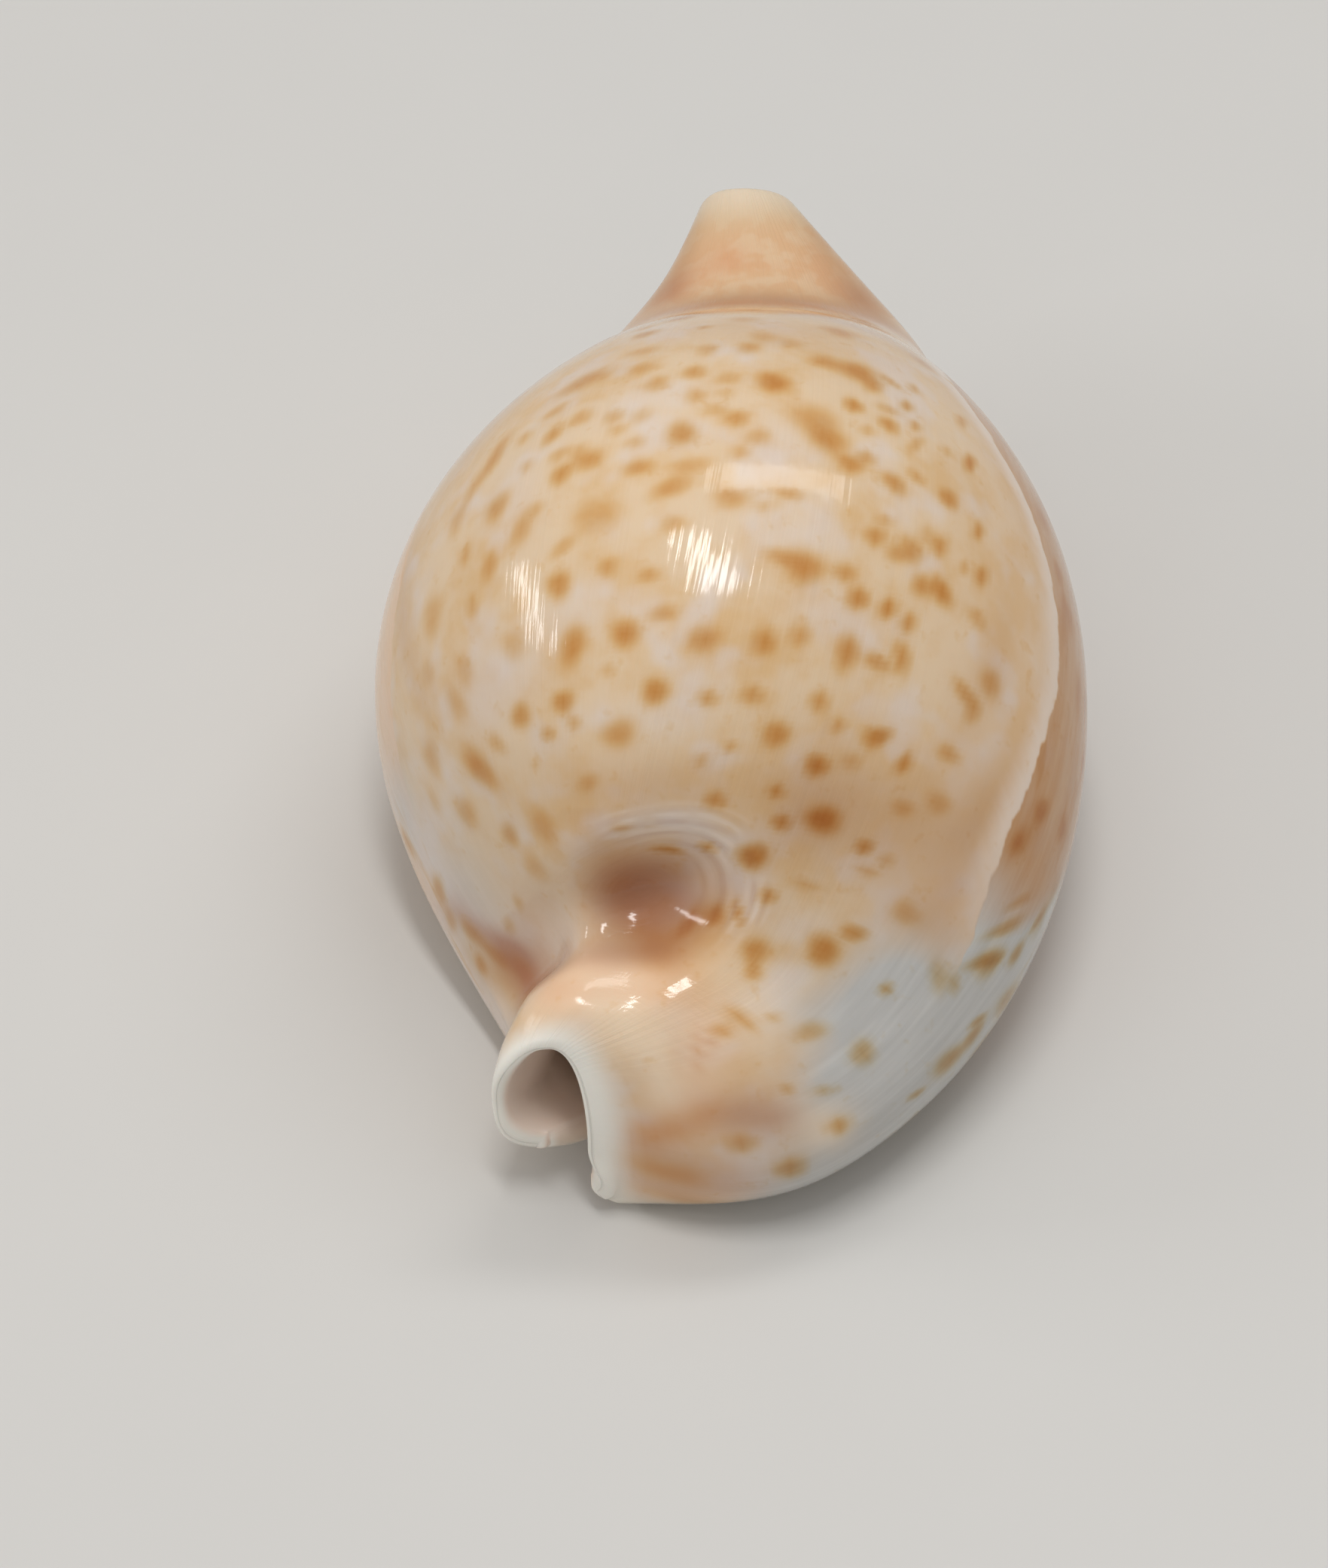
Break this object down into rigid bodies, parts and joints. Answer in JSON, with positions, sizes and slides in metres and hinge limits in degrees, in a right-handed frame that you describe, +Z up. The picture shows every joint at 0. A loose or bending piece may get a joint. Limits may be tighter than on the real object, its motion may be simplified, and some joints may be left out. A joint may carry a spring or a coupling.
{
  "type": "cowrie shell",
  "caption": "Glossy egg-shaped cowrie shell with a beaked front end, a notched rear canal under a spire pit, and a toothed slit along its flat base.",
  "frame": {"origin": "centre of the shell's footprint box, on the surface it rests on", "axes": "+Y along the shell towards the anterior beak, -Y towards the spire pit and posterior canal, +X towards the outer lip, +Z up through the back"},
  "size_m": [0.0594, 0.0979, 0.0505],
  "materials": {
    "shell": "gloss"
  },
  "bodies": {
    "root": {"shell": "shell"}
  },
  "joints": []
}
